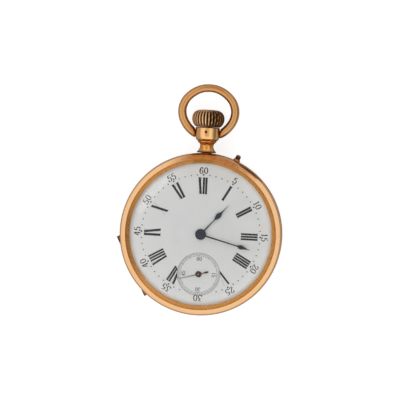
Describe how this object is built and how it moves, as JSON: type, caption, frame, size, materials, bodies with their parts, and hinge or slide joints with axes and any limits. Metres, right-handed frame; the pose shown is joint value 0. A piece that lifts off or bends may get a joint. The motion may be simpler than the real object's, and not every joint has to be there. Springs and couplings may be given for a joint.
{
  "type": "open face pocket watch",
  "caption": "Open face pocket watch: round gold case, domed glass, white Roman dial with small seconds, fluted crown and round bow, over a keyless lever movement.",
  "frame": {"origin": "on the flat of the back cover, under the centre of the case", "axes": "+Z out through the dial and glass, +Y to twelve o'clock and the crown, +X to three o'clock"},
  "size_m": [0.0475, 0.0655, 0.0124],
  "materials": {
    "rose_gold": "polished, lightly worn rose gold",
    "worn_gold": "worn, slightly dirty rose gold",
    "white_enamel": "glossy grey-white fired enamel with painted numerals",
    "blued_steel": "blued, nearly black",
    "purple_steel": "tempered brown-purple",
    "polished_steel": "polished",
    "gilt_brass": "matt gilt",
    "wheel_brass": "polished brass",
    "ruby": "polished synthetic ruby",
    "watch_glass": "clear, polished"
  },
  "bodies": {
    "case": {"case_middle": "rose_gold", "pendant": "rose_gold", "back_hinge_pin": "polished_steel", "push_piece_tube": "worn_gold", "yoke_spring": "polished_steel", "dial": "white_enamel", "mainplate": "gilt_brass", "barrel_bridge": "gilt_brass", "train_bridge": "gilt_brass", "balance_cock": "gilt_brass", "pallet_cock": "gilt_brass", "barrel_bridge_screw_1": "polished_steel", "barrel_bridge_screw_2": "polished_steel", "train_bridge_screw_1": "polished_steel", "train_bridge_screw_2": "polished_steel", "balance_cock_screw": "polished_steel", "pallet_cock_screw": "polished_steel", "case_screw_1": "polished_steel", "case_screw_2": "polished_steel", "crown_wheel_screw": "polished_steel", "click_spring": "polished_steel", "balance_cap_jewel": "ruby"},
    "bezel_and_glass": {"bezel": "rose_gold", "crystal": "watch_glass"},
    "back_cover": {"back_cover": "rose_gold"},
    "cuvette": {"cuvette": "worn_gold"},
    "bow": {"bow": "rose_gold"},
    "crown_and_stem": {"crown": "worn_gold", "winding_stem": "polished_steel", "winding_pinion": "polished_steel"},
    "clutch_wheel": {"clutch_wheel": "polished_steel"},
    "crown_wheel": {"crown_wheel": "polished_steel"},
    "ratchet_and_arbor": {"ratchet_wheel": "polished_steel", "ratchet_screw": "polished_steel", "barrel_arbor": "polished_steel"},
    "click": {"click": "polished_steel"},
    "push_piece": {"push_piece": "worn_gold"},
    "yoke": {"yoke": "polished_steel"},
    "minute_arbor": {"minute_hand": "blued_steel", "cannon_pinion": "polished_steel"},
    "minute_wheel": {"minute_wheel": "wheel_brass"},
    "hour_arbor": {"hour_hand": "blued_steel", "hour_wheel": "wheel_brass"},
    "setting_wheel": {"setting_wheel": "polished_steel"},
    "fourth_arbor": {"fourth_wheel": "wheel_brass", "seconds_hand": "purple_steel"},
    "third_wheel": {"third_wheel": "wheel_brass"},
    "centre_wheel": {"centre_wheel": "wheel_brass"},
    "barrel": {"barrel": "wheel_brass", "barrel_cover": "wheel_brass", "mainspring": "blued_steel"},
    "escape_wheel": {"escape_wheel": "polished_steel"},
    "pallet_fork": {"pallet_fork": "polished_steel", "pallet_stone_1": "ruby", "pallet_stone_2": "ruby"},
    "balance": {"balance_wheel": "wheel_brass", "impulse_roller": "polished_steel", "hairspring": "blued_steel"},
    "regulator": {"regulator": "polished_steel"}
  },
  "joints": [
    {"name": "bezel_lift", "type": "slide", "parent": "case", "child": "bezel_and_glass", "axis": [0, 0, 1], "range_m": [0, 0.015]},
    {"name": "back_cover_hinge", "type": "hinge", "parent": "case", "child": "back_cover", "pos_m": [-0.01875, -0.0101, 0.0029], "axis": [-0.4741, 0.8805, 0], "range_deg": [0, 95]},
    {"name": "cuvette_hinge", "type": "hinge", "parent": "case", "child": "cuvette", "pos_m": [-0.01875, -0.0101, 0.0029], "axis": [-0.4741, 0.8805, 0], "range_deg": [0, 72]},
    {"name": "bow_swing", "type": "hinge", "parent": "case", "child": "bow", "pos_m": [0, 0.028, 0.005], "axis": [1, 0, 0], "range_deg": [-85, 85]},
    {"name": "crown_turn", "type": "hinge", "parent": "case", "child": "crown_and_stem", "pos_m": [0, 0.02, 0.005], "axis": [0, 1, 0], "continuous": true},
    {"name": "clutch_slide", "type": "slide", "parent": "crown_and_stem", "child": "clutch_wheel", "axis": [0, -1, 0], "range_m": [0, 0.0006]},
    {"name": "crown_wheel_turn", "type": "hinge", "parent": "case", "child": "crown_wheel", "pos_m": [0, 0.013, 0.0024], "axis": [0, 0, 1], "continuous": true},
    {"name": "ratchet_turn", "type": "hinge", "parent": "case", "child": "ratchet_and_arbor", "pos_m": [-0.0065, 0.00483, 0.0024], "axis": [0, 0, 1], "continuous": true},
    {"name": "click_lift", "type": "hinge", "parent": "case", "child": "click", "pos_m": [-0.014, 0.0012, 0.0024], "axis": [0, 0, 1], "range_deg": [-10, 0], "stiffness_Nm_per_rad": 0.00001},
    {"name": "push_piece_press", "type": "slide", "parent": "case", "child": "push_piece", "axis": [-0.3795, -0.9252, 0], "range_m": [0, 0.0009], "stiffness_N_per_m": 300},
    {"name": "yoke_turn", "type": "hinge", "parent": "case", "child": "yoke", "pos_m": [0.0075, 0.0125, 0.005], "axis": [0, 0, 1], "range_deg": [0, 5.5]},
    {"name": "minute_hand_turn", "type": "hinge", "parent": "case", "child": "minute_arbor", "pos_m": [0, 0, 0.009], "axis": [0, 0, -1], "continuous": true},
    {"name": "minute_wheel_turn", "type": "hinge", "parent": "case", "child": "minute_wheel", "pos_m": [0, 0.0036, 0.0072], "axis": [0, 0, -1], "continuous": true},
    {"name": "hour_hand_turn", "type": "hinge", "parent": "case", "child": "hour_arbor", "pos_m": [0, 0, 0.009], "axis": [0, 0, -1], "continuous": true},
    {"name": "setting_wheel_turn", "type": "hinge", "parent": "case", "child": "setting_wheel", "pos_m": [0, 0.0081, 0.0072], "axis": [0, 0, -1], "continuous": true},
    {"name": "seconds_hand_turn", "type": "hinge", "parent": "case", "child": "fourth_arbor", "pos_m": [0, -0.0113, 0.006], "axis": [0, 0, -1], "continuous": true},
    {"name": "third_wheel_turn", "type": "hinge", "parent": "case", "child": "third_wheel", "pos_m": [-0.00331, -0.00662, 0.005], "axis": [0, 0, -1], "continuous": true},
    {"name": "centre_wheel_turn", "type": "hinge", "parent": "case", "child": "centre_wheel", "pos_m": [0, 0, 0.005], "axis": [0, 0, -1], "continuous": true},
    {"name": "barrel_turn", "type": "hinge", "parent": "case", "child": "barrel", "pos_m": [-0.0065, 0.00483, 0.0044], "axis": [0, 0, -1], "continuous": true},
    {"name": "escape_wheel_turn", "type": "hinge", "parent": "case", "child": "escape_wheel", "pos_m": [0.00446, -0.0125, 0.0054], "axis": [0, 0, -1], "continuous": true},
    {"name": "lever_swing", "type": "hinge", "parent": "case", "child": "pallet_fork", "pos_m": [0.0064, -0.0102, 0.0054], "axis": [0, 0, 1], "range_deg": [-5.5, 5.5]},
    {"name": "balance_swing", "type": "hinge", "parent": "case", "child": "balance", "pos_m": [0.0095, -0.0065, 0.0042], "axis": [0, 0, 1], "range_deg": [-270, 270], "stiffness_Nm_per_rad": 0.00000092},
    {"name": "regulator_turn", "type": "hinge", "parent": "case", "child": "regulator", "pos_m": [0.0095, -0.0065, 0.002], "axis": [0, 0, 1], "range_deg": [-20, 20]}
  ],
  "couplings": [
    {"joint": "cuvette_hinge", "follows": "back_cover_hinge", "ratio": 0.75},
    {"joint": "crown_wheel_turn", "follows": "crown_turn", "ratio": 0.43333},
    {"joint": "ratchet_turn", "follows": "crown_turn", "ratio": -0.34211},
    {"joint": "yoke_turn", "follows": "push_piece_press", "rad_per_m": 100},
    {"joint": "clutch_slide", "follows": "push_piece_press", "ratio": 0.6},
    {"joint": "minute_wheel_turn", "follows": "minute_hand_turn", "ratio": -0.33333},
    {"joint": "hour_hand_turn", "follows": "minute_hand_turn", "ratio": 0.083333},
    {"joint": "setting_wheel_turn", "follows": "minute_hand_turn", "ratio": 0.5},
    {"joint": "third_wheel_turn", "follows": "seconds_hand_turn", "ratio": -0.13333},
    {"joint": "centre_wheel_turn", "follows": "seconds_hand_turn", "ratio": 0.016667},
    {"joint": "barrel_turn", "follows": "seconds_hand_turn", "ratio": -0.0020833},
    {"joint": "escape_wheel_turn", "follows": "seconds_hand_turn", "ratio": -10}
  ]
}
